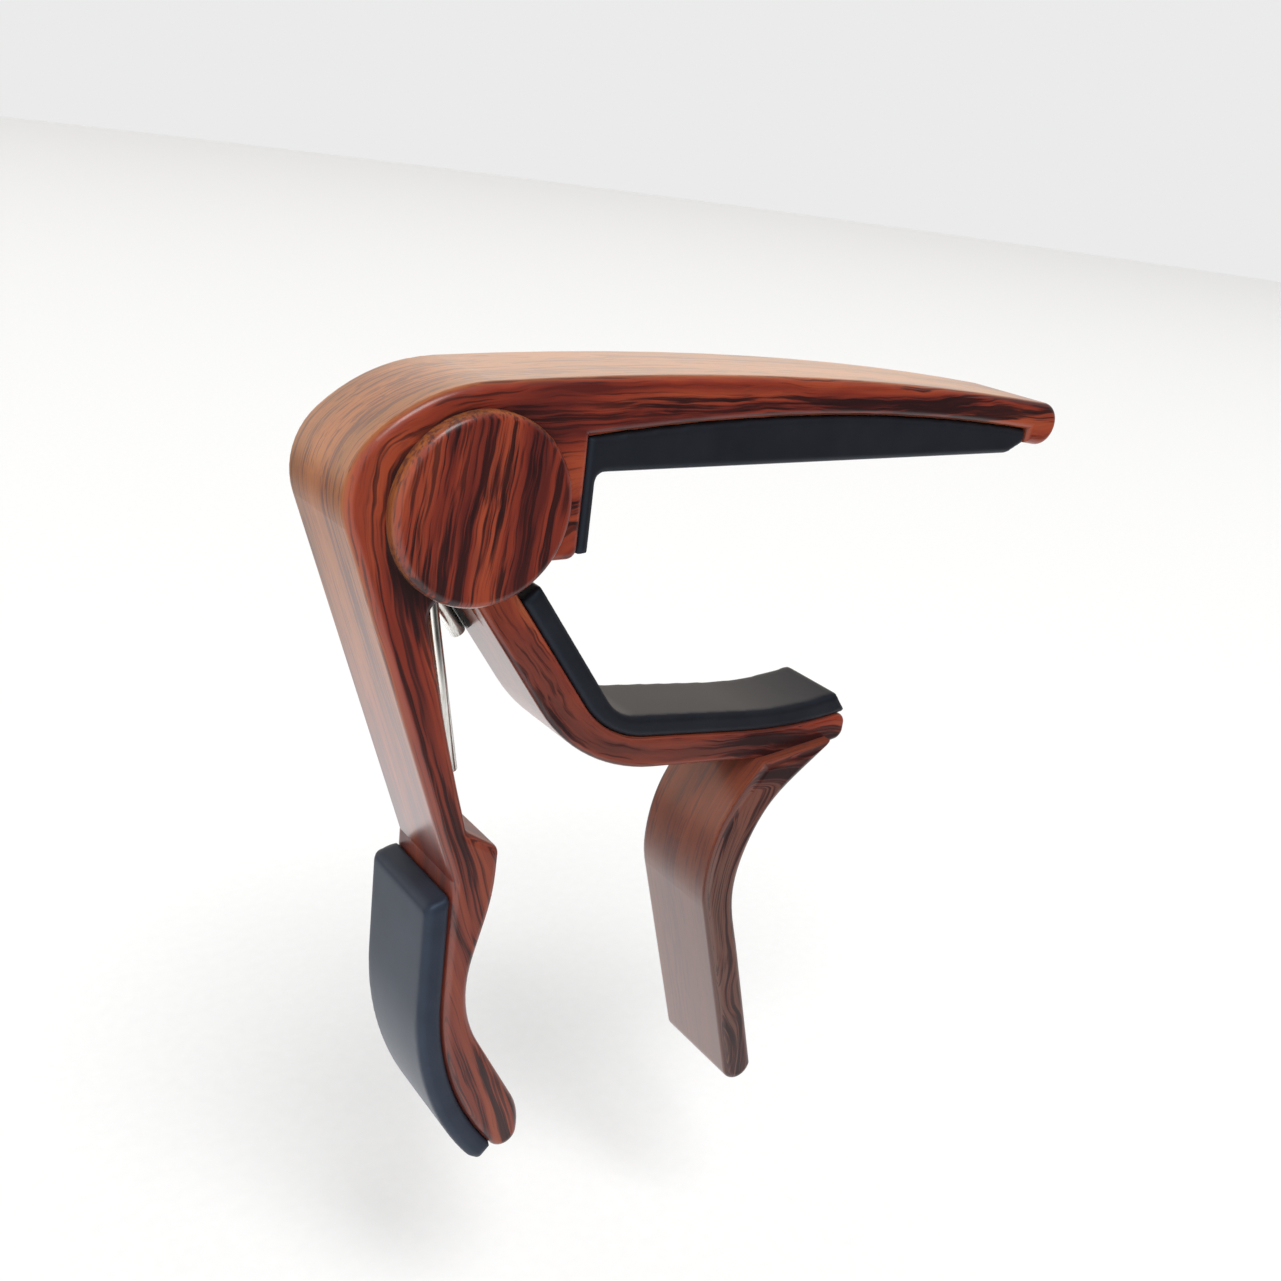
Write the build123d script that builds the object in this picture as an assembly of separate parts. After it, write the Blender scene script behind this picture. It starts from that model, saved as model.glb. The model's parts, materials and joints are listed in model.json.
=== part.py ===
from build123d import *
import math
import os

# Trigger-type guitar capo, clamped: a cast frame (string bar and rear handle) and a cast jaw
# (neck arm and front trigger) turn on one pivot and are held closed by a torsion spring.
#
# Millimetres. +X runs along the string bar from the pivot to its free tip, +Y across the capo
# towards its rear face, +Z up, away from the strings. The origin is the middle of the string
# pad's underside, where it rests on the strings. Outlines are drawn in the XZ plane.

# Widths across the capo, along Y
FRAME_WIDTH = 11.4
CHEEK_GAP = 8.9          # slot in the frame between its front and rear cheeks
ARM_WIDTH = 8.6
ROOT_WIDTH = 8.3         # the jaw's forked root, faced down for the thrust washers
FORK_GAP = 6.5           # slot in the jaw's root for the spring's coil
TRIGGER_WIDTH = 11.8
STRING_PAD_WIDTH = 10.8
NECK_PAD_WIDTH = 8.4

# Rounded edges
FRAME_EDGE = 0.8
TRIGGER_EDGE = 0.8
ARM_EDGE = 0.5
PAD_EDGE = 0.5
GRIP_EDGE = 0.7
BODY_CORNER = 1.0
CHEEK_CORNER = 1.5

# Pivot pin, its screw and the parts on it
PIVOT_X, PIVOT_Z = -37.4, -2.3
PIN_RADIUS = 1.75
RUNNING_CLEARANCE = 0.05
HEAD_RADIUS = 3.2
HEAD_THICKNESS = 0.6
SCREW_RADIUS = 1.0
SCREW_LENGTH = 8.0
SOCKET_RADIUS = 0.9
SOCKET_DEPTH = 0.35
CAP_RADIUS = 8.0
CAP_THICKNESS = 1.4
CAP_EDGE = 0.75
CAP_RECESS = 0.75
BUSH_RADIUS = 2.6
WASHER_RADIUS = 4.8
WASHER_THICKNESS = 0.25
WASHER_GAP = 0.02

# Shapes round the pivot
ROOT_RADIUS = 5.6        # the jaw's root
ROOT_CORNER = 2.0
ROOT_FACED_RADIUS = 5.3
FORK_RADIUS = 7.4
SLOT_RADIUS = 6.4        # the frame's slot
SLOT_SHOULDER = (-43.2, -4.6)
SLOT_KNEE_Z = -9.0
SLOT_RIGHT = (-28.8, -4.2)
SLOT_BELOW_Z = -13.0     # clear of the cheeks' lower edge
CHEEK_RADIUS = 7.6       # the cheeks' lower edge, just inside the caps

# Torsion spring
WIRE_RADIUS = 0.7
COIL_RADIUS = 3.5
COIL_PITCH = 1.6
COIL_START_Y = -2.2
FULL_TURNS = 2
LONG_LEG_LEAN = 10.5     # degrees from straight down
LONG_LEG_LENGTH = 24.4
LONG_LEG_EASE = 3.0      # tangent stretch before the leg turns square to the pivot
LONG_LEG_BEND = 8.0
SHORT_LEG_START = 5.6    # along the arm's outer face
SHORT_LEG_END = 13.6
SHORT_LEG_BEND = 2.0
SEAT_GAP = 0.05
OPENING = 18.0           # degrees the jaw opens from where it is drawn
RELIEF_CLEARANCE = 0.15  # round the long leg in the groove that clears it
RELIEF_LENGTH = 14.0

# String bar and rounded corner
BODY_X = -27.5           # the body's face behind the string pad's leg
BODY_BOTTOM = -7.4
ARCH_LEFT_Z = 3.15
ARCH_MIDDLE_Z = 4.45
PAD_END_X = 28.1
PAD_END_TOP = 2.55
PAD_END_BOTTOM = 1.1
BAR_START = (-36.7, 7.7)
BAR_CROWN = (-4.0, 8.0)
BAR_END = (30.6, 5.3)
NOSE_UNDER = (30.0, 0.85)
CORNER_MIDDLE = (-46.6, 3.6)
CORNER_END = (-48.4, -3.4)

# String pad
PAD_LEG_THICKNESS = 1.2
PAD_LEG_BOTTOM = -7.1
PAD_CHAMFER = 2.3
PAD_BEND_RADIUS = 0.8

# Handle below the bar
HANDLE_STRAIGHT = 35.1
HANDLE_INNER_X = -41.45
HANDLE_INNER_MIDDLE = (-39.1, -19.5)
LEDGE_IN = (-35.75, -31.8)
LEDGE_OUT = (-32.35, -34.1)
LEDGE_EDGE = 1.1
FINGER_CURVE = [(-32.4, -38.9), (-35.3, -50.4)]
FINGER_RADII = [20, 14, 7]
FINGER_END_HEIGHT = 2.5
HANDLE_TIP_IN = (-27.15, -67.4)
HANDLE_TIP_OUT = (-30.0, -68.4)

# Handle grip
GRIP_TOP = -38.0
GRIP_CURVE_TOP = -49.0
GRIP_FACE_X = -39.35
GRIP_SHOULDER = 0.6      # drop of the grip's top edge towards its outer face
GRIP_CORNER = 0.9
GRIP_TIP_OUT = (-32.5, -68.9)
GRIP_TIP = (-31.3, -69.7)

# Jaw arm
ARM_OUT_START = (-40.65, -4.42)
ARM_OUT_CORNER = (-23.72, -28.92)
ARM_OUT_RADIUS = 18.7
ARM_OUT_LOW = (-2.0, -31.35)
ARM_IN_START = (-38.0, -2.4)
ARM_IN_CORNER = (-21.05, -25.96)
ARM_IN_RADIUS = 10.5
ARM_IN_LOW = (-4.0, -28.0)
ARM_TIP_IN = (10.2, -27.9)
ARM_TIP_OUT = (10.2, -30.9)
ARM_TIP_CORNER = 1.2

# Trigger
TRIGGER_LEFT = [(-1.7, -31.3), (-6.15, -38.1), (-7.15, -43.6), (-6.7, -47.4)]
TRIGGER_LEFT_START = (-0.8, -1)      # the way each side sets off or arrives
TRIGGER_RIGHT = [(-1.0, -54.0), (-3.1, -44.6), (-0.9, -37.6), (7.4, -30.3)]
TRIGGER_RIGHT_END = (1, 0.75)
TRIGGER_TIP_LEFT = (0.3, -70.6)
TRIGGER_TIP = (2.3, -72.0)
TRIGGER_TIP_RIGHT = (3.9, -70.3)

# Neck pad
NECK_PAD_THICKNESS = 2.2
NECK_PAD_START = 11.0    # along the arm's inner face
NECK_PAD_RADIUS = 5.0
NECK_PAD_END = (8.4, -25.6)

# Nylon seat under the spring's short leg, sunk into the arm's outer face
SEAT_LENGTH = 6.5
SEAT_WIDTH = 2.9
SEAT_DEPTH = 0.7
SEAT_PROUD = 0.3
SEAT_MIDDLE = 10.4       # along the arm's outer face
SEAT_Y = 2.75
SEAT_CORNER = 1.2

PIVOT = Vector(PIVOT_X, PIVOT_Z)
SAME_POINT = 0.01        # points nearer than this are one corner
COIL_SLOPE = math.atan(COIL_PITCH / (2 * math.pi * COIL_RADIUS))
LONG_LEG_Y = COIL_START_Y - LONG_LEG_EASE * math.sin(COIL_SLOPE)


def slab(outline, width):
    """An XZ outline extruded to the given width, symmetric about the middle plane."""
    return extrude(Plane.XZ * outline, amount=width / 2, both=True)


def closed(*edges):
    """The flat face inside edges that join end to end."""
    return make_face(list(edges))


def rounded(face, points, radius):
    """An outline with the corners at the given points rounded."""
    corners = [v for v in face.vertices() if any(math.dist((v.X, v.Y), p) < SAME_POINT for p in points)]
    return fillet(corners, radius)


def soften(solid, radius):
    """A slab with the edges round its front and rear faces rounded."""
    sides = solid.faces().filter_by(Axis.Y).sort_by(Axis.Y)
    return fillet(sides[0].edges() + sides[-1].edges(), radius)


def disc(radius, y_from, y_to):
    """A cylinder round the pivot's axis between two distances from the middle plane."""
    middle = Plane((PIVOT_X, (y_from + y_to) / 2, PIVOT_Z), x_dir=(1, 0, 0), z_dir=(0, 1, 0))
    return middle * Cylinder(radius, abs(y_to - y_from))


def ring(outer, inner, y_from, y_to):
    """A flat ring or tube round the pivot's axis."""
    return disc(outer, y_from, y_to) - disc(inner, y_from, y_to)


def along(start, end, distance, outward=0.0):
    """A point that far from start towards end, and that far out to the line's right."""
    step = (Vector(*end) - Vector(*start)).normalized()
    return Vector(*start) + step * distance + Vector(step.Y, -step.X) * outward


# ---- frame -----------------------------------------------------------------------------


def arch():
    """The shallow arch under the bar, where the string pad fits."""
    return ThreePointArc((BODY_X, ARCH_LEFT_Z), (0, ARCH_MIDDLE_Z), (PAD_END_X, PAD_END_TOP))


def bar_top():
    return ThreePointArc(BAR_START, BAR_CROWN, BAR_END)


def handle_outer():
    """The rounded corner and the straight outer side of the handle below it."""
    corner_top = TangentArc(BAR_START, CORNER_MIDDLE, tangent=(bar_top() % 0) * -1)
    corner_side = TangentArc(CORNER_MIDDLE, CORNER_END, tangent=corner_top % 1)
    straight = Line(CORNER_END, corner_side @ 1 + (corner_side % 1) * HANDLE_STRAIGHT)
    return [corner_top, corner_side, straight]


def grip_seat(top):
    """The handle's outer side from the given height down, which the grip covers."""
    back_x = (handle_outer()[-1] @ 1).X
    upper = Line((back_x, top), (back_x, GRIP_CURVE_TOP))
    lower = TangentArc(upper @ 1, HANDLE_TIP_OUT, tangent=(0, -1))
    return [upper, lower]


def frame_outline():
    """Side view of the bar, corner, cheeks and handle as one piece."""
    drop = BODY_BOTTOM - PIVOT_Z
    cheek_right = (PIVOT_X + math.sqrt(CHEEK_RADIUS**2 - drop**2), BODY_BOTTOM)
    reach = HANDLE_INNER_X - PIVOT_X
    cheek_left = (HANDLE_INNER_X, PIVOT_Z - math.sqrt(CHEEK_RADIUS**2 - reach**2))
    outer = handle_outer()
    seat = grip_seat((outer[-1] @ 1).Y)
    tip = TangentArc(HANDLE_TIP_OUT, HANDLE_TIP_IN, tangent=seat[-1] % 1)
    above_tip = tip @ 1 + (tip % 1) * FINGER_END_HEIGHT
    finger = FilletPolyline(LEDGE_OUT, *FINGER_CURVE, above_tip, tip @ 1, radius=FINGER_RADII)
    face = closed(
        bar_top(),
        TangentArc(BAR_END, NOSE_UNDER, tangent=bar_top() % 1),
        Line(NOSE_UNDER, (PAD_END_X, PAD_END_BOTTOM)),
        Line((PAD_END_X, PAD_END_BOTTOM), (PAD_END_X, PAD_END_TOP)),
        arch(),
        Line((BODY_X, ARCH_LEFT_Z), (BODY_X, BODY_BOTTOM)),
        Line((BODY_X, BODY_BOTTOM), cheek_right),
        ThreePointArc(cheek_right, (PIVOT_X, PIVOT_Z - CHEEK_RADIUS), cheek_left),
        ThreePointArc(cheek_left, HANDLE_INNER_MIDDLE, LEDGE_IN),
        Line(LEDGE_IN, LEDGE_OUT),
        *finger.edges(),
        tip,
        *seat,
        *outer,
    )
    face = rounded(face, [LEDGE_IN, LEDGE_OUT], LEDGE_EDGE)
    face = rounded(face, [cheek_left, cheek_right], CHEEK_CORNER)
    return rounded(face, [(BODY_X, BODY_BOTTOM)], BODY_CORNER)


def slot_outline():
    """The space between the cheeks that the jaw's root, arm and neck pad turn in."""
    below = Polyline(
        SLOT_SHOULDER, (HANDLE_INNER_X, SLOT_KNEE_Z), (HANDLE_INNER_X, SLOT_BELOW_Z),
        (SLOT_RIGHT[0], SLOT_BELOW_Z), SLOT_RIGHT, (PIVOT_X, PIVOT_Z), SLOT_SHOULDER,
    )
    return Pos(PIVOT_X, PIVOT_Z) * Circle(SLOT_RADIUS) + make_face(below)


def make_frame():
    body = soften(slab(frame_outline(), FRAME_WIDTH), FRAME_EDGE)
    body -= slab(slot_outline(), CHEEK_GAP)
    return body - disc(PIN_RADIUS, -FRAME_WIDTH, FRAME_WIDTH)


def make_string_pad():
    """L-shaped silicone pad: flat on the strings, with a leg down the body's face."""
    leg_x = BODY_X + PAD_LEG_THICKNESS
    corners = Polyline(
        (BODY_X, ARCH_LEFT_Z), (BODY_X, PAD_LEG_BOTTOM), (leg_x, PAD_LEG_BOTTOM), (leg_x, 0),
        (PAD_END_X - PAD_CHAMFER, 0), (PAD_END_X, PAD_END_BOTTOM), (PAD_END_X, PAD_END_TOP),
    )
    face = rounded(closed(arch(), corners), [(leg_x, 0)], PAD_BEND_RADIUS)
    return soften(slab(face, STRING_PAD_WIDTH), PAD_EDGE)


def make_handle_grip():
    """Silicone cover over the handle's outer side, flush with its front and rear faces."""
    seat = grip_seat(GRIP_TOP)
    top_out = (GRIP_FACE_X, GRIP_TOP - GRIP_SHOULDER)
    curve_top = (GRIP_FACE_X, GRIP_CURVE_TOP)
    face = closed(
        *seat,
        Line(HANDLE_TIP_OUT, GRIP_TIP),
        Line(GRIP_TIP, GRIP_TIP_OUT),
        TangentArc(curve_top, GRIP_TIP_OUT, tangent=(0, -1)),
        Line(curve_top, top_out),
        Line(top_out, seat[0] @ 0),
    )
    face = rounded(face, [top_out, GRIP_TIP_OUT], GRIP_CORNER)
    return soften(slab(face, FRAME_WIDTH), GRIP_EDGE)


# ---- pivot -----------------------------------------------------------------------------


def make_pivot_pin():
    """Headed barrel through both cheeks, drilled from the rear for its screw."""
    half = FRAME_WIDTH / 2
    pin = disc(PIN_RADIUS, -half, half) + disc(HEAD_RADIUS, -half - HEAD_THICKNESS, -half)
    pin -= disc(SOCKET_RADIUS, -half - HEAD_THICKNESS, -half - HEAD_THICKNESS + SOCKET_DEPTH)
    return pin - disc(SCREW_RADIUS, half - SCREW_LENGTH, half)


def make_pivot_screw():
    half = FRAME_WIDTH / 2
    screw = disc(SCREW_RADIUS, half - SCREW_LENGTH, half)
    screw += disc(HEAD_RADIUS, half, half + HEAD_THICKNESS)
    return screw - disc(SOCKET_RADIUS, half + HEAD_THICKNESS - SOCKET_DEPTH, half + HEAD_THICKNESS)


def make_pivot_cap(side):
    """Round cover over a pin or screw head; side is -1 for the front and 1 for the rear."""
    inner = side * FRAME_WIDTH / 2
    outer = inner + side * CAP_THICKNESS
    cap = disc(CAP_RADIUS, inner, outer)
    rim = cap.faces().filter_by(Axis.Y).sort_by(Axis.Y)[0 if side < 0 else -1].edges()
    cap = fillet(rim, CAP_EDGE)
    return cap - disc(HEAD_RADIUS, inner, inner + side * CAP_RECESS)


def make_spring_bush():
    """Nylon tube on the pin between the fork's ears, inside the coil."""
    reach = FORK_GAP / 2
    return ring(BUSH_RADIUS, PIN_RADIUS + RUNNING_CLEARANCE, -reach, reach)


def make_thrust_washer(side):
    inner = side * (ROOT_WIDTH / 2 + WASHER_GAP)
    return ring(WASHER_RADIUS, PIN_RADIUS + RUNNING_CLEARANCE, inner, inner + side * WASHER_THICKNESS)


# ---- jaw -------------------------------------------------------------------------------


def leaving_root(start, end):
    """Where the line from start to end leaves the jaw's round root."""
    step = (Vector(*end) - Vector(*start)).normalized()
    to_pivot = PIVOT - Vector(*start)
    foot = to_pivot.dot(step)
    half_chord = math.sqrt(ROOT_RADIUS**2 - to_pivot.dot(to_pivot) + foot**2)
    return Vector(*start) + step * (foot + half_chord)


def arm_outline():
    root_out = leaving_root(ARM_OUT_START, ARM_OUT_CORNER)
    root_in = leaving_root(ARM_IN_START, ARM_IN_CORNER)
    root_top = (PIVOT_X, PIVOT_Z + ROOT_RADIUS)
    outer = FilletPolyline(root_out, ARM_OUT_CORNER, ARM_OUT_LOW, radius=ARM_OUT_RADIUS)
    inner = FilletPolyline(root_in, ARM_IN_CORNER, ARM_IN_LOW, radius=ARM_IN_RADIUS)
    face = closed(
        *outer.edges(),
        TangentArc(ARM_OUT_LOW, ARM_TIP_OUT, tangent=outer % 1),
        Line(ARM_TIP_OUT, ARM_TIP_IN),
        TangentArc(ARM_IN_LOW, ARM_TIP_IN, tangent=inner % 1),
        *inner.edges(),
        ThreePointArc(root_in, root_top, root_out),
    )
    face = rounded(face, [(root_out.X, root_out.Y), (root_in.X, root_in.Y)], ROOT_CORNER)
    return rounded(face, [ARM_TIP_OUT, ARM_TIP_IN], ARM_TIP_CORNER)


def trigger_outline():
    lean = Vector(*TRIGGER_TIP_LEFT) - Vector(*TRIGGER_LEFT[-1])
    return closed(
        Spline(*TRIGGER_LEFT, tangents=[TRIGGER_LEFT_START, lean]),
        Line(TRIGGER_LEFT[-1], TRIGGER_TIP_LEFT),
        ThreePointArc(TRIGGER_TIP_LEFT, TRIGGER_TIP, TRIGGER_TIP_RIGHT),
        Line(TRIGGER_TIP_RIGHT, TRIGGER_RIGHT[0]),
        Spline(*TRIGGER_RIGHT, tangents=[lean * -1, TRIGGER_RIGHT_END]),
        Line(TRIGGER_RIGHT[-1], TRIGGER_LEFT[0]),
    )


def seat_block(depth, proud):
    """A round-cornered block in the arm's outer face, where the spring's short leg bears."""
    down_arm = Vector(*ARM_OUT_CORNER) - Vector(*ARM_OUT_START)
    middle = along(ARM_OUT_START, ARM_OUT_CORNER, SEAT_MIDDLE)
    place = Plane(
        (middle.X, SEAT_Y, middle.Y),
        x_dir=(down_arm.X, 0, down_arm.Y),
        z_dir=(down_arm.Y, 0, -down_arm.X),
    )
    outline = place * RectangleRounded(SEAT_LENGTH, SEAT_WIDTH, SEAT_CORNER)
    return extrude(outline, amount=proud) + extrude(outline, amount=-depth)


def leg_relief():
    """The groove in the arm's outer face that takes the long leg when the jaw is open."""
    lean = math.radians(LONG_LEG_LEAN + OPENING)
    down_leg = Vector(math.sin(lean), 0, -math.cos(lean))
    coil_side = Vector(-math.cos(lean), 0, -math.sin(lean)) * COIL_RADIUS
    middle = Vector(PIVOT_X, LONG_LEG_Y, PIVOT_Z) + coil_side + down_leg * (RELIEF_LENGTH / 2)
    return Plane(middle, z_dir=down_leg) * Cylinder(WIRE_RADIUS + RELIEF_CLEARANCE, RELIEF_LENGTH)


def make_jaw():
    jaw = soften(slab(arm_outline(), ARM_WIDTH), ARM_EDGE)
    jaw += soften(slab(trigger_outline(), TRIGGER_WIDTH), TRIGGER_EDGE)
    jaw -= slab(Pos(PIVOT_X, PIVOT_Z) * Circle(FORK_RADIUS), FORK_GAP)
    jaw -= leg_relief()
    for side in (-1, 1):
        jaw -= disc(ROOT_FACED_RADIUS, side * ROOT_WIDTH / 2, side * ARM_WIDTH)
    jaw -= disc(PIN_RADIUS + RUNNING_CLEARANCE, -ARM_WIDTH, ARM_WIDTH)
    return jaw - seat_block(SEAT_DEPTH, SEAT_PROUD)


def make_neck_pad():
    """Silicone pad along the inside of the arm, bent round its elbow."""
    start = along(ARM_IN_START, ARM_IN_CORNER, NECK_PAD_START)
    start_top = along(ARM_IN_START, ARM_IN_CORNER, NECK_PAD_START, -NECK_PAD_THICKNESS)
    low_top = along(ARM_IN_CORNER, ARM_IN_LOW, math.dist(ARM_IN_CORNER, ARM_IN_LOW), -NECK_PAD_THICKNESS)
    arm = (Vector(*ARM_IN_CORNER) - Vector(*ARM_IN_START)).normalized()
    base = (Vector(*ARM_IN_LOW) - Vector(*ARM_IN_CORNER)).normalized()
    miter = Vector(-arm.Y - base.Y, arm.X + base.X) / (1 + arm.dot(base))
    corner_top = Vector(*ARM_IN_CORNER) + miter * NECK_PAD_THICKNESS
    under = FilletPolyline(start, ARM_IN_CORNER, ARM_IN_LOW, radius=ARM_IN_RADIUS)
    over = FilletPolyline(start_top, corner_top, low_top, radius=NECK_PAD_RADIUS)
    under_end = TangentArc(ARM_IN_LOW, ARM_TIP_IN, tangent=under % 1)
    over_end = TangentArc(low_top, NECK_PAD_END, tangent=over % 1)
    face = closed(
        *under.edges(),
        under_end,
        Line(ARM_TIP_IN, NECK_PAD_END),
        over_end,
        *over.edges(),
        Line(start_top, start),
    )
    return soften(slab(face, NECK_PAD_WIDTH), PAD_EDGE)


def make_spring_seat():
    return seat_block(SEAT_DEPTH, SEAT_PROUD)


# ---- torsion spring --------------------------------------------------------------------


def make_torsion_spring():
    """Coil round the bush; the long leg bears on the handle, the short leg on the jaw."""
    clear = SEAT_PROUD + SEAT_GAP + WIRE_RADIUS
    bend = along(ARM_OUT_START, ARM_OUT_CORNER, SHORT_LEG_START, clear)
    tip = along(ARM_OUT_START, ARM_OUT_CORNER, SHORT_LEG_END, clear)
    to_bend = bend - PIVOT
    start_angle = 180 + LONG_LEG_LEAN
    spread = math.degrees(math.acos(COIL_RADIUS / to_bend.length))
    end_angle = math.degrees(math.atan2(to_bend.Y, to_bend.X)) + spread
    turns = FULL_TURNS + (start_angle - end_angle) / 360
    start_dir = (math.cos(math.radians(start_angle)), 0, math.sin(math.radians(start_angle)))
    place = Plane((PIVOT_X, COIL_START_Y, PIVOT_Z), x_dir=start_dir, z_dir=(0, 1, 0))
    coil = place * Helix(COIL_PITCH, turns * COIL_PITCH, COIL_RADIUS)
    ease = coil @ 0 - (coil % 0) * LONG_LEG_EASE
    leg_dir = Vector((coil % 0).X, 0, (coil % 0).Z).normalized()
    leg_tip = ease - leg_dir * (LONG_LEG_LENGTH - LONG_LEG_EASE)
    long_leg = FilletPolyline(leg_tip, ease, coil @ 0, radius=LONG_LEG_BEND)
    reach = to_bend.length * math.sin(math.radians(spread))
    corner = coil @ 1 + (coil % 1) * reach
    short_leg = FilletPolyline(coil @ 1, corner, (tip.X, corner.Y, tip.Y), radius=SHORT_LEG_BEND)
    path = Wire([*long_leg.edges(), *coil.edges(), *short_leg.edges()])
    section = Plane(path @ 0, z_dir=path % 0) * Circle(WIRE_RADIUS)
    return sweep(section, path=path)


PARTS = {
    "frame": make_frame(),
    "string_pad": make_string_pad(),
    "handle_grip": make_handle_grip(),
    "pivot_pin": make_pivot_pin(),
    "pivot_screw": make_pivot_screw(),
    "pivot_cap_front": make_pivot_cap(-1),
    "pivot_cap_rear": make_pivot_cap(1),
    "torsion_spring": make_torsion_spring(),
    "jaw": make_jaw(),
    "neck_pad": make_neck_pad(),
    "spring_seat": make_spring_seat(),
    "spring_bush": make_spring_bush(),
    "thrust_washer_front": make_thrust_washer(-1),
    "thrust_washer_rear": make_thrust_washer(1),
}

os.makedirs("parts", exist_ok=True)
for name, part in PARTS.items():
    export_step(part, f"parts/{name}.step")
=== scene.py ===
import json
import math

import bmesh
import bpy
from mathutils import Matrix, Vector


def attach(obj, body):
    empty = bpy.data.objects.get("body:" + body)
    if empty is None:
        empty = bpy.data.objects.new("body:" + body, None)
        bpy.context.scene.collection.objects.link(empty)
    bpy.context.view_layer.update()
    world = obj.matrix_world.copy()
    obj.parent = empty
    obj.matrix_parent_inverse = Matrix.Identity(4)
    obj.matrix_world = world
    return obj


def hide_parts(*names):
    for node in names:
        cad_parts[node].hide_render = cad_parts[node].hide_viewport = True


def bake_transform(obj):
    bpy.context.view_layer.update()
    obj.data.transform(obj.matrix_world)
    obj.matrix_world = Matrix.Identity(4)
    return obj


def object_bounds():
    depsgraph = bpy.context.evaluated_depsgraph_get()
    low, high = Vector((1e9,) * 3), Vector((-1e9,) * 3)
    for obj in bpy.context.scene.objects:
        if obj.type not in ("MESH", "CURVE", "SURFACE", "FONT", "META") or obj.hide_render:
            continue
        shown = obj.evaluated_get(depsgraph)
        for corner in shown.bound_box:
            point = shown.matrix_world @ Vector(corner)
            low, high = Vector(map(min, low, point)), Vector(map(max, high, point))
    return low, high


# Looks for the guitar capo: wood-grain film on the castings and caps, silicone pads, a bright
# torsion spring and a pale studio. Metres throughout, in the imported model's own frame.

MM = 0.001
BUMP_DEPTH = 0.02 * MM

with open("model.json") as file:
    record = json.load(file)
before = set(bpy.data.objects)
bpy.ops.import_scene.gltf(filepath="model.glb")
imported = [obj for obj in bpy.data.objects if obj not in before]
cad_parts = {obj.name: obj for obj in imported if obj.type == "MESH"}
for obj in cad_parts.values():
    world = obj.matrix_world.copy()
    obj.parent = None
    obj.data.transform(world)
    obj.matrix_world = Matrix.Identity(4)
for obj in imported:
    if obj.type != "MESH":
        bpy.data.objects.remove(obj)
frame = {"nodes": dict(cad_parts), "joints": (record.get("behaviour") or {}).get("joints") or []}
cad_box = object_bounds()
nodes = frame["nodes"]
FRAME_BODY, JAW_BODY = "frame_body", "jaw_body"
PIVOT = Vector(frame["joints"][0]["pos_m"])


# ---- node helpers ----------------------------------------------------------------------


def connect(tree, value, target):
    """Give an input a Number, a socket or a plain value."""
    if isinstance(value, Number):
        value = value.socket
    if isinstance(value, bpy.types.NodeSocket):
        tree.links.new(value, target)
    else:
        target.default_value = value


def add(tree, kind, inputs=None, **settings):
    """A new shader node with its settings and inputs."""
    node = tree.nodes.new("ShaderNode" + kind)
    for name, value in settings.items():
        setattr(node, name, value)
    for name, value in (inputs or {}).items():
        connect(tree, value, node.inputs[name])
    return node


class Number:
    """A number worked out by the node tree, so that a formula reads as one."""

    def __init__(self, tree, socket):
        self.tree = tree
        self.socket = socket

    def calc(self, operation, *others):
        node = add(self.tree, "Math", dict(enumerate((self, *others))), operation=operation)
        return Number(self.tree, node.outputs[0])

    def __add__(self, other):
        return self.calc("ADD", other)

    def __sub__(self, other):
        return self.calc("SUBTRACT", other)

    def __mul__(self, other):
        return self.calc("MULTIPLY", other)

    def soft_max(self, other, blend):
        return self.calc("SMOOTH_MAX", other, blend)

    def step(self, low, high):
        """0 below low, 1 above high and a smooth rise between them."""
        node = add(
            self.tree, "MapRange", {"Value": self, "From Min": low, "From Max": high},
            interpolation_type="SMOOTHSTEP",
        )
        return Number(self.tree, node.outputs["Result"])

    def fall(self, high, low):
        """0 above high, 1 below low and a smooth rise between them."""
        return (self * -1).step(-high, -low)

    def inverse(self):
        """One minus this number."""
        return self * -1 + 1

    def toward(self, other, share):
        """This number where share is 0 and the other where it is 1."""
        return self + (other - self) * share


def new_material(name, **surface):
    """A Principled material: (material, tree, shader), with the constants set on the shader."""
    material = bpy.data.materials.new(name)
    material.use_nodes = True
    tree = material.node_tree
    shader = tree.nodes["Principled BSDF"]
    for socket, value in surface.items():
        shader.inputs[socket.replace("_", " ")].default_value = value
    return material, tree, shader


def position(tree):
    """The x, y and z of a point in the part's rest frame, in millimetres."""
    coordinates = add(tree, "TexCoord").outputs["Object"]
    split = add(tree, "SeparateXYZ", {"Vector": coordinates}).outputs
    return [Number(tree, split[axis]) * (1 / MM) for axis in "XYZ"]


def noise_at(tree, x, y, z, detail=3.0):
    """Noise from 0 to 1 at a place, with features about 1 across."""
    vector = add(tree, "CombineXYZ", {"X": x, "Y": y, "Z": z}).outputs[0]
    node = add(
        tree, "TexNoise",
        {"Vector": vector, "Scale": 1.0, "Detail": detail, "Roughness": 0.55},
    )
    return Number(tree, node.outputs["Fac"])


def mix_colors(tree, amount, first, second):
    """The first colour where amount is 0 and the second where it is 1."""
    node = add(tree, "Mix", data_type="RGBA")
    factor, first_color, second_color = node.inputs[0], node.inputs[6], node.inputs[7]
    connect(tree, amount, factor)
    connect(tree, first, first_color)
    connect(tree, second, second_color)
    return node.outputs[2]


def ramp(tree, amount, *stops):
    """A colour ramp through (position, colour) stops."""
    node = add(tree, "ValToRGB", {"Fac": amount})
    elements = node.color_ramp.elements
    while len(elements) < len(stops):
        elements.new(0.5)
    for element, (place, color) in zip(elements, stops):
        element.position = place
        element.color = color
    return node.outputs["Color"]


def tint(tree, shader, noise, dark, light):
    """Colour a surface between two tones as a noise says."""
    connect(tree, ramp(tree, noise, (0.3, dark), (0.7, light)), shader.inputs["Base Color"])


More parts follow.
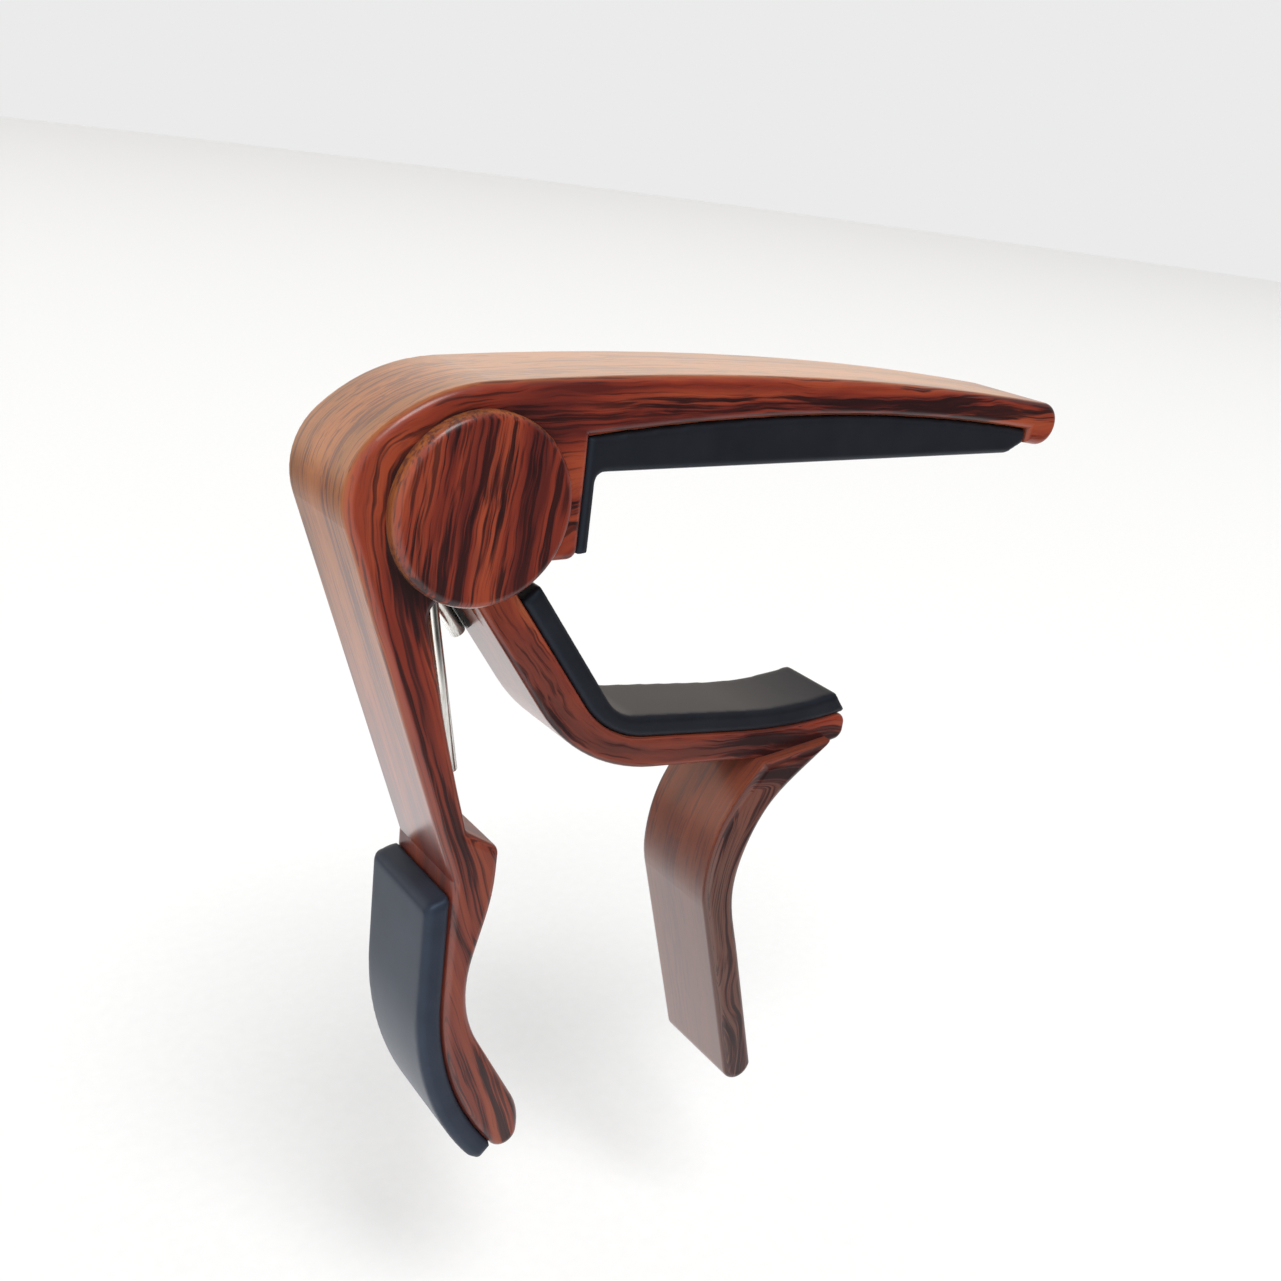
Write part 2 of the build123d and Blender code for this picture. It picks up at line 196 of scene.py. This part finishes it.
def bump(tree, shader, height, strength):
    """Roughen a surface by a height that goes from 0 to 1."""
    inputs = {"Height": height, "Distance": BUMP_DEPTH, "Strength": strength}
    connect(tree, add(tree, "Bump", inputs).outputs["Normal"], shader.inputs["Normal"])


# ---- wood-grain film -------------------------------------------------------------------

# The film's colours, from its darkest lines to the tones of the faces that look outward; their
# golden tone is partly the film's stretch and partly painted light
BLACK_STREAK = (0.018, 0.005, 0.006, 1)
MAROON = (0.095, 0.011, 0.008, 1)
RED_BROWN = (0.210, 0.024, 0.010, 1)
ORANGE_BROWN = (0.325, 0.052, 0.017, 1)
LIGHT_ORANGE = (0.400, 0.100, 0.032, 1)
GOLDEN_STRETCH_AND_LIGHT = (0.440, 0.195, 0.060, 1)
UMBER = (0.110, 0.026, 0.018, 1)
PLUM = (0.095, 0.034, 0.034, 1)
DULL_BROWN = (0.120, 0.052, 0.038, 1)

# The outer outline that the grain follows, as (x, z) in millimetres
BAR_TOP = 8.0
HANDLE_OUTER = ((-48.4, -3.4), (-36.9, -38.3))
ARM_OUTER = ((-40.65, -4.42), (-23.72, -28.92))
ARM_UNDER = ((-23.72, -28.92), (-2.0, -31.35))
CORNER_BLEND = 24.0
ELBOW_BLEND = 10.0

# Between these two heights the arm's lines give way to the trigger's, which bend round a knee
# and sway in slow swirls
ARM_GRAIN_END = -31.2
TRIGGER_GRAIN_START = -34.2
KNEE_Z = -45.0
KNEE_ROUNDING = 5.0
KNEE_SLOPE = 0.32       # millimetres sideways for each one up or down from the knee
SWIRL_WIDTH = 9.0

CAP_GRAIN_TILT = math.radians(6)

# The film's layers of noise: how fast each changes along the grain and across it, per
# millimetre, its detail and where in the noise it is taken
FILM_LAYERS = {
    "tone": (0.030, 0.34, 3.0, 0.0),
    "cluster": (0.035, 0.22, 1.0, 3.1),
    "line": (0.050, 1.30, 1.0, 5.7),
    "thread": (0.080, 2.90, 1.0, 9.2),
    "fray": (0.150, 6.00, 2.0, 13.0),
    "hair": (0.260, 9.00, 2.0, 17.0),
}


def line_distance(x, z, line):
    """Distance in front of a straight line through two points, in the XZ plane."""
    start, toward = line
    run = (Vector(toward) - Vector(start)).normalized()
    return (x - start[0]) * run.y - (z - start[1]) * run.x


# Each grain function says, at a point of a casting or cap, how far along and across the lines
# it lies, how bold the dark lines are, how dull the colour is, and how golden the faces that look
# outward are, partly the film's stretch and partly painted light. flat is 1 on the front and rear
# faces and 0 on those that look outward.


def frame_grain(x, z, flat):
    """Lines along the outer outline of the bar, corner and handle.

    A band of bold streaks runs a little inside the outline and the edge beside it is plain.
    """
    across = (z - BAR_TOP).soft_max(line_distance(x, z, HANDLE_OUTER), CORNER_BLEND)
    band = across.step(-5.0, -3.2) * across.fall(-1.5, -2.4) * z.step(-16.0, -4.0)
    edge = across.step(-1.9, -1.1)
    corner = x.fall(-24.0, -40.0) * z.step(-24.0, -8.0)
    low = z.fall(-12.0, -37.0)
    return {
        "along": (x + z) * -1,
        "across": across,
        "bold": flat * (band * 0.17 - edge * 0.06 + low * 0.12 + corner * 0.10),
        "dull": z.fall(-10.0, -40.0) * 0.4,
        # Golden on faces that look outward above z -8 mm, gone by -34 mm and fading out between x
        # 22 and 31 mm: partly the film's stretch, partly painted light high up and painted shade
        # low down, above the grip
        "golden_stretch_and_light": z.fall(-8.0, -34.0).inverse() * 0.55 * x.fall(31.0, 22.0),
    }


def jaw_grain(x, z, flat):
    """Lines along the arm, bold at its elbow, and down the trigger with slow swirls."""
    beside_arm = line_distance(x, z, ARM_OUTER)
    across_arm = beside_arm.soft_max(line_distance(x, z, ARM_UNDER), ELBOW_BLEND)
    elbow = across_arm.step(-4.2, -2.0) * z.fall(-10.0, -17.0)
    swirl = (noise_at(x.tree, x * 0.12, 0.0, z * 0.07, detail=0.0) - 0.5) * SWIRL_WIDTH
    from_knee = (z - KNEE_Z).calc("POWER", 2) + KNEE_ROUNDING**2
    across_trigger = x - from_knee.calc("SQRT") * KNEE_SLOPE + flat * swirl
    trigger = z.fall(ARM_GRAIN_END, TRIGGER_GRAIN_START)
    low = z.fall(-36.0, -50.0)
    return {
        "along": (x - z).toward(z * -0.9, trigger),
        "across": across_arm.toward(across_trigger, trigger),
        "bold": flat * (elbow * 0.15 + trigger * 0.04) - trigger * 0.04,
        "dull": elbow * 0.4 + trigger * (low * 0.4 + flat * 0.35 + 0.05),
        "golden_stretch_and_light": trigger * 0.05 + 0.1,
    }


def cap_grain(x, z, flat):
    """Straight lines, almost upright, the same on the cap's face and its rim."""
    sine, cosine = math.sin(CAP_GRAIN_TILT), math.cos(CAP_GRAIN_TILT)
    return {
        "along": x * sine + z * cosine,
        "across": x * cosine - z * sine,
        "bold": 0.05,
        "dull": 0.0,
        # The rim's golden tone: partly the film's stretch, partly painted light on the rounded rim
        "golden_stretch_and_light": 0.45,
    }


def film_color(tree, layer, grain, outward):
    """The film's colour, from its warm ground up to its dark lines, and how strong these are."""
    bold = grain["bold"]
    color = ramp(
        tree, layer["tone"] + layer["fray"] * 0.12 - bold * 0.5 + 0.5,
        (0.34, MAROON), (0.44, RED_BROWN), (0.60, ORANGE_BROWN), (0.80, LIGHT_ORANGE),
    )
    # Golden on the faces that look outward: partly the film's stretch, partly painted light
    color = mix_colors(tree, outward * grain["golden_stretch_and_light"], color, GOLDEN_STRETCH_AND_LIGHT)
    color = mix_colors(tree, layer["hair"].step(0.0, 0.24) * 0.45, color, UMBER)
    color = mix_colors(tree, grain["dull"], color, DULL_BROWN)
    strand = layer["line"] + layer["cluster"] * 0.9 + layer["fray"] * 0.5 + bold
    wisp = layer["thread"] + layer["cluster"] * 0.5 + layer["fray"] * 0.4 + bold + outward * 0.08
    ink = mix_colors(tree, outward, BLACK_STREAK, PLUM)
    calm = outward * -0.7 + 1
    color = mix_colors(tree, strand.step(0.02, 0.18) * calm * 0.55, color, MAROON)
    color = mix_colors(tree, strand.step(0.11, 0.24) * calm * 0.85, color, ink)
    color = mix_colors(tree, wisp.step(0.07, 0.24) * 0.7, color, ink)
    return color, strand


def wood_film(name, grain_at, seed, wander=2.4, outer_lines=True):
    """Printed rosewood film under a satin lacquer; the golden tone on the faces that look outward
    is partly painted light.

    grain_at is one of the grain functions. wander is how far the lines stray, in millimetres.
    With outer_lines the lines on the faces that look outward follow the outline.
    """
    material, tree, shader = new_material(
        name, Roughness=0.5, Specular_IOR_Level=0.0,
        Coat_Weight=1.0, Coat_Roughness=0.28, Coat_IOR=1.5,
    )
    x, y, z = position(tree)
    normal = add(tree, "TexCoord").outputs["Normal"]
    facing = Number(tree, add(tree, "SeparateXYZ", {"Vector": normal}).outputs["Y"])
    outward = facing.calc("ABSOLUTE").inverse().step(0.15, 0.9)
    flat = outward.inverse()    # 1 on the front and rear faces
    grain = grain_at(x, z, flat)
    along = grain["along"]
    across = grain["across"] * flat if outer_lines else grain["across"]
    sway = noise_at(tree, along * 0.055, across * 0.10, y * 0.10 + seed, detail=2.0) - 0.5
    ripple = noise_at(tree, along * 0.30, across * 0.45, y * 0.45 + seed, detail=1.0) - 0.5
    across = across + sway * wander + ripple * 0.6
    depth = y + sway * 1.6
    layer = {}
    for part, (stretch, pitch, detail, shift) in FILM_LAYERS.items():
        place = (along * stretch, across * pitch, depth * pitch + (seed + shift))
        layer[part] = noise_at(tree, *place, detail) - 0.5
    color, strand = film_color(tree, layer, grain, outward)
    connect(tree, color, shader.inputs["Base Color"])
    peel = noise_at(tree, x * 1.1, y * 1.1, z * 1.1, detail=2.0)
    bump(tree, shader, peel + strand * 0.2 + layer["hair"] * 0.1, strength=0.5)
    return material


# ---- other materials -------------------------------------------------------------------

SILICONE_TINT = (0.55, 0.76, 1, 1)
NAVY_BLACK = (0.016, 0.019, 0.031, 1)
# The pads' near-black is the grip's silicone darkened: painted shade where the pads sit under the
# bar and against the neck
SILICONE_IN_PAINTED_SHADE = (0.009, 0.009, 0.012, 1)
WIRE_DARK, WIRE_LIGHT = (0.62, 0.60, 0.55, 1), (0.86, 0.84, 0.80, 1)
STEEL_DARK, STEEL_LIGHT = (0.40, 0.40, 0.41, 1), (0.58, 0.58, 0.59, 1)
NYLON_AND_SHADE_DARK, NYLON_AND_SHADE_LIGHT = (0.008, 0.008, 0.008, 1), (0.018, 0.017, 0.016, 1)
PAPER_DARK, PAPER_LIGHT = (0.925, 0.925, 0.92, 1), (0.945, 0.945, 0.94, 1)


def silicone(name, tone, shine):
    """Matte silicone. tone is its darkest colour and gives way to a slightly lighter one."""
    material, tree, shader = new_material(
        name, Specular_IOR_Level=shine, Roughness=0.48, Specular_Tint=SILICONE_TINT,
    )
    x, y, z = position(tree)
    lighter = [1.4 * channel for channel in tone[:3]] + [1]
    tint(tree, shader, noise_at(tree, x * 0.25, y * 0.25, z * 0.25), tone, lighter)
    bump(tree, shader, noise_at(tree, x * 9.0, y * 9.0, z * 9.0, detail=4.0), strength=0.6)
    return material


def bright_wire():
    """Drawn spring wire, with faint lines along its length."""
    material, tree, shader = new_material("bright_wire", Metallic=1.0)
    x, y, z = position(tree)
    drawn = noise_at(tree, x * 6.0, y * 14.0, z * 0.8, detail=3.0)
    tint(tree, shader, drawn, WIRE_DARK, WIRE_LIGHT)
    connect(tree, drawn * 0.15 + 0.10, shader.inputs["Roughness"])
    return material


def turned_steel():
    """Steel turned round the pivot's axis."""
    material, tree, shader = new_material("turned_steel", Metallic=1.0)
    x, y, z = position(tree)
    from_axis = (x - PIVOT.x / MM).calc("POWER", 2) + (z - PIVOT.z / MM).calc("POWER", 2)
    rings = noise_at(tree, from_axis.calc("SQRT") * 9.0, y * 9.0, 0.0, detail=2.0)
    tint(tree, shader, rings, STEEL_DARK, STEEL_LIGHT)
    connect(tree, rings * 0.2 + 0.25, shader.inputs["Roughness"])
    return material


# Black nylon for the spring bush; on the spring seat the same black is painted shade, a dark piece
# standing for the shade in the jaw's recess under the spring's short leg
def black_nylon():
    material, tree, shader = new_material("black_nylon")
    x, y, z = position(tree)
    grain = noise_at(tree, x * 5.0, y * 5.0, z * 5.0, detail=3.0)
    tint(tree, shader, grain, NYLON_AND_SHADE_DARK, NYLON_AND_SHADE_LIGHT)
    connect(tree, grain * 0.2 + 0.35, shader.inputs["Roughness"])
    return material


def floor_paper():
    material, tree, shader = new_material("floor_paper", Roughness=0.7, Specular_IOR_Level=0.2)
    x, y, z = position(tree)
    fibre = noise_at(tree, x * 0.6, y * 0.6, z, detail=5.0)
    tint(tree, shader, fibre, PAPER_DARK, PAPER_LIGHT)
    return material


def dress(node, material):
    """Give a CAD node that stays as it is a material."""
    nodes[node].data.materials.clear()
    nodes[node].data.materials.append(material)


# ---- pieces ----------------------------------------------------------------------------

PAD_VOXEL = 0.3 * MM
PAD_SMOOTHING = 2       # rounds
WIRE_SIDES = 20
CUT_END_SIZE = 0.82     # of the wire's radius, at the very end of a leg
CUT_END_LENGTH = 0.12   # of the wire's radius, over which the end narrows


def new_piece(name, mesh, material, body, slot, *replaced):
    """A finished mesh as an object that stands for CAD nodes and rides on a body."""
    piece = bpy.data.objects.new(name, mesh)
    bpy.context.scene.collection.objects.link(piece)
    piece.data.materials.clear()
    piece.data.materials.append(material)
    for polygon in piece.data.polygons:
        polygon.use_smooth = True
    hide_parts(*replaced)
    if body:
        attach(piece, body)
    return piece


def remeshed(node):
    """A fine, even mesh of a CAD node's shape with its edges eased."""
    work = bpy.data.objects.new("work", nodes[node].data.copy())
    bpy.context.scene.collection.objects.link(work)
    remesh = work.modifiers.new("Remesh", "REMESH")
    remesh.mode = "VOXEL"
    remesh.voxel_size = PAD_VOXEL
    smooth = work.modifiers.new("Smooth", "SMOOTH")
    smooth.factor = 0.5
    smooth.iterations = PAD_SMOOTHING
    graph = bpy.context.evaluated_depsgraph_get()
    mesh = bpy.data.meshes.new_from_object(work.evaluated_get(graph))
    bpy.data.objects.remove(work)
    return mesh


def tube_mesh(name, points, radius):
    """A round wire along the points, with slightly rounded cut ends."""
    first = (points[0] - points[1]).normalized()
    last = (points[-1] - points[-2]).normalized()
    end_size, inset = radius * CUT_END_SIZE, radius * CUT_END_LENGTH
    rings = [(points[0], end_size), (points[0] - first * inset, radius)]
    rings += [(point, radius) for point in points[1:-1]]
    rings += [(points[-1] - last * inset, radius), (points[-1], end_size)]
    shape = bmesh.new()
    side = first.orthogonal().normalized()
    turns = [2 * math.pi * k / WIRE_SIDES for k in range(WIRE_SIDES)]
    loops = []
    for i, (centre, size) in enumerate(rings):
        ahead = rings[min(i + 1, len(rings) - 1)][0] - rings[max(i - 1, 0)][0]
        ahead.normalize()
        side = (side - ahead * side.dot(ahead)).normalized()
        up = ahead.cross(side)
        spokes = [(side * math.cos(turn) + up * math.sin(turn)) * size for turn in turns]
        loops.append([shape.verts.new(centre + spoke) for spoke in spokes])
    for near, far in zip(loops, loops[1:]):
        for k in range(WIRE_SIDES):
            after = (k + 1) % WIRE_SIDES
            shape.faces.new((near[k], near[after], far[after], far[k]))
    shape.faces.new(reversed(loops[0]))
    shape.faces.new(loops[-1])
    bmesh.ops.recalc_face_normals(shape, faces=shape.faces)
    mesh = bpy.data.meshes.new(name)
    shape.to_mesh(mesh)
    shape.free()
    return mesh


# ---- torsion spring, in the CAD solid's own dimensions ---------------------------------

WIRE_RADIUS = 0.7 * MM
COIL_RADIUS = 3.5 * MM
COIL_PITCH = 1.6 * MM
COIL_START_Y = -2.2 * MM
WHOLE_TURNS = 2
COIL_STEPS = 120
LONG_LEG_Y = -2.42 * MM
LONG_LEG_LEAN = math.radians(10.5)
LONG_LEG_LENGTH = 24.4 * MM
LONG_LEG_EASE = 3.0 * MM        # down the leg, where it has left the coil's plane
KINK_PLACE = 10.2 * MM          # down the leg
KINK_OFFSET = 0.15 * MM         # to the handle's side
SHORT_LEG_GAP = 1.05 * MM       # from the arm's outer face to the middle of the wire
SHORT_LEG_START = 5.6 * MM      # down the arm's outer face
SHORT_LEG_END = 13.6 * MM
SHORT_LEG_RISE = 0.5 * MM       # past the coil's last turn
EASE_STEPS = 6                  # in each bend of a leg
ARM_FACE_START, ARM_FACE_END = [Vector((x, 0, z)) * MM for x, z in ARM_OUTER]


def eased(points, share):
    """The polyline with each inner corner turned into a short curve."""
    smooth = [points[0]]
    for before, corner, after in zip(points, points[1:], points[2:]):
        reach = share * min((corner - before).length, (after - corner).length)
        enter = corner + (before - corner).normalized() * reach
        leave = corner + (after - corner).normalized() * reach
        for k in range(EASE_STEPS + 1):
            t = k / EASE_STEPS
            smooth.append(enter * (1 - t) ** 2 + corner * 2 * t * (1 - t) + leave * t * t)
    return smooth + [points[-1]]


def coil_points(start, sweep):
    """The coil's turns about the pivot, from an angle and turning back through the sweep."""
    points = []
    for k in range(COIL_STEPS + 1):
        turned = sweep * k / COIL_STEPS
        y = COIL_START_Y + COIL_PITCH * turned / (2 * math.pi)
        angle = start - turned
        out = Vector((math.cos(angle) * COIL_RADIUS, y, math.sin(angle) * COIL_RADIUS))
        points.append(PIVOT + out)
    return points


def spring_route():
    """Long leg with its small kink, coil and short leg as one run of points."""
    arm = (ARM_FACE_END - ARM_FACE_START).normalized()
    outward = Vector((arm.z, 0, -arm.x))
    bend = ARM_FACE_START + arm * SHORT_LEG_START + outward * SHORT_LEG_GAP
    tip = ARM_FACE_START + arm * SHORT_LEG_END + outward * SHORT_LEG_GAP
    to_bend = bend - PIVOT
    start = math.pi + LONG_LEG_LEAN
    end = math.atan2(to_bend.z, to_bend.x) + math.acos(COIL_RADIUS / to_bend.length)
    coil = coil_points(start, WHOLE_TURNS * 2 * math.pi + start - end)
    down_leg = Vector((math.sin(LONG_LEG_LEAN), 0, -math.cos(LONG_LEG_LEAN)))
    sideways = Vector((0, LONG_LEG_Y - COIL_START_Y, 0))
    ease = coil[0] + down_leg * LONG_LEG_EASE + sideways
    kink = coil[0] + down_leg * KINK_PLACE + sideways - Vector((KINK_OFFSET, 0, 0))
    leg_tip = coil[0] + down_leg * LONG_LEG_LENGTH + sideways
    long_leg = eased([leg_tip, kink, ease, coil[0]], share=0.15)
    short_leg_y = coil[-1].y + SHORT_LEG_RISE
    corner = Vector((bend.x, short_leg_y, bend.z))
    short_leg = eased([coil[-1], corner, Vector((tip.x, short_leg_y, tip.z))], share=0.35)
    return long_leg[:-1] + coil + short_leg[1:]


def make_spring(material):
    mesh = tube_mesh("torsion_spring_wire", spring_route(), WIRE_RADIUS)
    piece = new_piece("torsion_spring_wire", mesh, material, None, "spring_steel", "torsion_spring")
    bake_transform(piece)


def make_soft(name, node, body, material):
    """A silicone piece with eased edges in place of its CAD node."""
    piece = new_piece(name, remeshed(node), material, body, "silicone", node)


# ---- studio ----------------------------------------------------------------------------

FLOOR_DROP = 24 * MM    # below the capo
FLOOR_RADIUS = 3.0

# The room's strengths: what lights matte surfaces, what the camera sees behind the capo, and
# what its faces mirror in each direction
ROOM_LIGHT = 0.72
BACKDROP = 0.83
GLOW_ABOVE = 1.4
GLOW_BELOW = 0.9
GLOW_AROUND = 0.3
GLOW_FLOOR = 0.6
GLOW_LEFT = 0.7
GLOW_IN_DARK = 0.03
WHITE = (1, 1, 1, 1)
WARM_GLOW = (1.0, 0.88, 0.76, 1)
DARK_SIDE = Vector((0.55, -0.835, 0.0))

KEY_PLACE = Vector((-0.5, -1.8, 3.2))   # from the middle of the capo
KEY_SIZE = 1.8
KEY_POWER = 69.0

# The photo's camera, worked out from the fretboard's edges and frets
CAMERA_PLACE = (-0.088468, -0.093774, 0.026585)
CAMERA_RIGHT = Vector((0.8103, -0.5732, 0.1217))
CAMERA_UP = Vector((0.1125, 0.3560, 0.9277))
CAMERA_LENS = 37.43


def make_floor():
    mesh = bpy.data.meshes.new("floor")
    shape = bmesh.new()
    bmesh.ops.create_circle(shape, cap_ends=True, segments=96, radius=FLOOR_RADIUS)
    bmesh.ops.translate(shape, verts=shape.verts, vec=(0, 0, cad_box[0].z - FLOOR_DROP))
    shape.to_mesh(mesh)
    shape.free()
    floor = bpy.data.objects.new("floor", mesh)
    bpy.context.scene.collection.objects.link(floor)
    floor.data.materials.append(floor_paper())
    floor.visible_glossy = False


def make_world():
    """White paper behind and below the capo and a dark side in front, as reflections see them."""
    world = bpy.data.worlds.new("studio")
    bpy.context.scene.world = world
    world.use_nodes = True
    world.cycles.sampling_method = "NONE"
    tree = world.node_tree
    ray = add(tree, "LightPath").outputs
    seen, mirrored = Number(tree, ray["Is Camera Ray"]), Number(tree, ray["Is Glossy Ray"])
    direction = add(tree, "TexCoord").outputs["Generated"]
    split = add(tree, "SeparateXYZ", {"Vector": direction}).outputs
    right, behind, height = [Number(tree, split[axis]) for axis in "XYZ"]
    dot = add(tree, "VectorMath", {0: direction, 1: DARK_SIDE}, operation="DOT_PRODUCT")
    open_side = Number(tree, dot.outputs["Value"]).fall(0.98, 0.65)
    back_half = behind.step(0.0, 0.85)
    above = height.step(-0.24, 0.16) * height.fall(0.70, 0.40) * GLOW_ABOVE
    below = height.fall(-0.40, -0.68) * GLOW_BELOW
    around = height.fall(-0.20, -0.60) * GLOW_FLOOR + GLOW_AROUND
    left = ((right + behind) * -0.707).step(0.20, 0.80) * GLOW_LEFT
    upper = open_side * back_half * above
    glow = open_side * (back_half * below + around + left) + upper + GLOW_IN_DARK
    strength = mirrored * (glow - ROOM_LIGHT) + ROOM_LIGHT + seen * (BACKDROP - ROOM_LIGHT)
    color = mix_colors(tree, mirrored * upper.step(0.0, 0.5), WHITE, WARM_GLOW)
    background = tree.nodes["Background"]
    connect(tree, color, background.inputs["Color"])
    connect(tree, strength, background.inputs["Strength"])


def make_key_light():
    data = bpy.data.lights.new("key", "AREA")
    data.shape = "DISK"
    data.size = KEY_SIZE
    data.energy = KEY_POWER
    light = bpy.data.objects.new("key", data)
    bpy.context.scene.collection.objects.link(light)
    light.location = (cad_box[0] + cad_box[1]) / 2 + KEY_PLACE
    light.rotation_euler = (KEY_PLACE * -1).to_track_quat("-Z", "Y").to_euler()


def make_camera():
    data = bpy.data.cameras.new("camera")
    data.sensor_width = 36.0
    data.lens = CAMERA_LENS
    data.clip_start = 0.005
    data.clip_end = 20.0
    camera = bpy.data.objects.new("camera", data)
    bpy.context.scene.collection.objects.link(camera)
    back = CAMERA_RIGHT.cross(CAMERA_UP).normalized()
    up = back.cross(CAMERA_RIGHT).normalized()
    turn = Matrix((CAMERA_RIGHT, up, back)).transposed().to_4x4()
    camera.matrix_world = Matrix.Translation(CAMERA_PLACE) @ turn
    bpy.context.scene.camera = camera


# ---- the scene -------------------------------------------------------------------------

make_camera()
make_floor()
make_world()
make_key_light()

frame_film = wood_film("wood_film_frame", frame_grain, seed=0.0)
jaw_film = wood_film("wood_film_jaw", jaw_grain, seed=11.0)
cap_film = wood_film("wood_film_cap", cap_grain, seed=23.0, wander=1.4, outer_lines=False)
grip_silicone = silicone("silicone_navy", NAVY_BLACK, shine=0.42)
# The same silicone as the grip in a darker copy: painted shade on the string pad and neck pad
pad_silicone_painted_shade = silicone("silicone_painted_shade", SILICONE_IN_PAINTED_SHADE, shine=0.28)
steel = turned_steel()
nylon_and_painted_shade = black_nylon()

dress("frame", frame_film)
dress("jaw", jaw_film)
for cap in ("pivot_cap_front", "pivot_cap_rear"):
    dress(cap, cap_film)
for node in ("pivot_pin", "pivot_screw", "thrust_washer_front", "thrust_washer_rear"):
    dress(node, steel)
# The spring seat's black stands in for the shade in the jaw's recess under the short leg: painted
# shade
for node in ("spring_bush", "spring_seat"):
    dress(node, nylon_and_painted_shade)

make_spring(bright_wire())
make_soft("string_pad_silicone", "string_pad", FRAME_BODY, pad_silicone_painted_shade)
make_soft("handle_grip_silicone", "handle_grip", FRAME_BODY, grip_silicone)
make_soft("neck_pad_silicone", "neck_pad", JAW_BODY, pad_silicone_painted_shade)

bpy.context.scene.view_settings.view_transform = "Standard"
